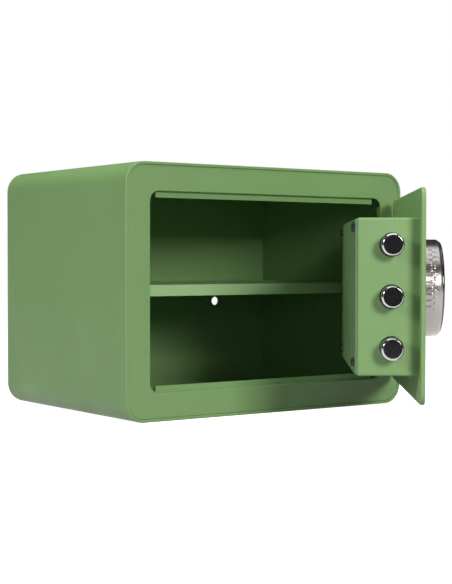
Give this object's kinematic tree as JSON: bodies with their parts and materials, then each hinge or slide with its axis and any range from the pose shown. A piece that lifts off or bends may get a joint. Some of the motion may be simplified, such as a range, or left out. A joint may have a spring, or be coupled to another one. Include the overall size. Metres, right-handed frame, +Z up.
{
  "type": "home safe",
  "caption": "Small steel home safe: rounded cabinet with a shelf, hinged door with knob-driven round bolts, lock box and electronic lock parts.",
  "frame": {"origin": "centre of the flat base, on the surface it stands on", "axes": "+X to the right and +Y to the back as seen facing the door, +Z up; -Z is out of the base"},
  "size_m": [0.35, 0.4876, 0.25],
  "materials": {
    "shell_paint": "fine-textured powder coat, satin",
    "door_paint": "fine-textured powder coat, satin",
    "chrome": "polished chrome plate",
    "knob_metal": "turned and brushed, satin",
    "plain_steel": "zinc plated",
    "black_screw": "black oxide, satin",
    "black_panel": "gloss black touch panel",
    "black_plastic": "moulded, matte",
    "brass": "machined",
    "solenoid_case": "zinc passivated",
    "board": "solder-masked board",
    "cell_wrap": "printed foil wrap, plain",
    "button_plastic": "moulded",
    "lead": "sheathed wire"
  },
  "bodies": {
    "cabinet": {"shell": "shell_paint", "front_frame": "shell_paint", "back_panel": "shell_paint", "shelf": "shell_paint", "shelf_support_left": "shell_paint", "shelf_support_right": "shell_paint", "hinge_bracket_lower": "plain_steel", "hinge_bracket_upper": "plain_steel", "hinge_pin_lower": "plain_steel", "hinge_pin_upper": "plain_steel"},
    "door": {"door_plate": "door_paint", "hinge_arm_lower": "door_paint", "hinge_arm_upper": "door_paint", "lock_box": "door_paint", "lock_cover": "door_paint", "cover_posts": "plain_steel", "cover_screws": "black_screw", "bolt_guide": "plain_steel", "guide_posts": "plain_steel", "knob_base": "black_plastic", "spindle_bush": "brass", "solenoid_body": "solenoid_case", "solenoid_bracket": "plain_steel", "solenoid_screws": "plain_steel", "plunger_spring": "plain_steel", "circuit_board": "board", "board_standoffs": "brass", "battery_tray": "black_plastic", "batteries": "cell_wrap", "battery_contacts": "plain_steel", "panel_lead": "lead", "battery_lead": "lead", "solenoid_lead": "lead"},
    "knob": {"knob_ring": "knob_metal", "knob_face": "black_panel", "knob_board": "board", "spindle": "plain_steel", "cam": "plain_steel", "cam_pin": "plain_steel", "spindle_clip": "plain_steel"},
    "bolt_work": {"bolt_bar": "plain_steel", "bolt_upper": "chrome", "bolt_middle": "chrome", "bolt_lower": "chrome", "bolt_screws": "plain_steel"},
    "plunger": {"plunger": "plain_steel"},
    "battery_lid": {"battery_lid": "door_paint"},
    "reset_button": {"reset_button": "button_plastic"}
  },
  "joints": [
    {"name": "door_hinge", "type": "hinge", "parent": "cabinet", "child": "door", "pos_m": [0.162, -0.111, 0.124], "axis": [0, 0, 1], "range_deg": [-52.5, 42]},
    {"name": "knob_turn", "type": "hinge", "parent": "door", "child": "knob", "pos_m": [0.07293, -0.24843, 0.129], "axis": [0.7934, -0.6088, 0], "range_deg": [0, 60]},
    {"name": "bolt_slide", "type": "slide", "parent": "door", "child": "bolt_work", "axis": [-0.6088, -0.7934, 0], "range_m": [0, 0.0181]},
    {"name": "plunger_slide", "type": "slide", "parent": "door", "child": "plunger", "axis": [0, 0, 1], "range_m": [0, 0.004], "deforming": ["plunger_spring"]},
    {"name": "battery_lid_pull", "type": "slide", "parent": "door", "child": "battery_lid", "axis": [-0.7934, 0.6088, 0], "range_m": [0, 0.02]},
    {"name": "reset_press", "type": "slide", "parent": "door", "child": "reset_button", "axis": [0.7934, -0.6088, 0], "range_m": [0, 0.0015], "stiffness_N_per_m": 200}
  ],
  "couplings": [
    {"joint": "bolt_slide", "follows": "knob_turn", "m_per_rad": 0.017189}
  ]
}
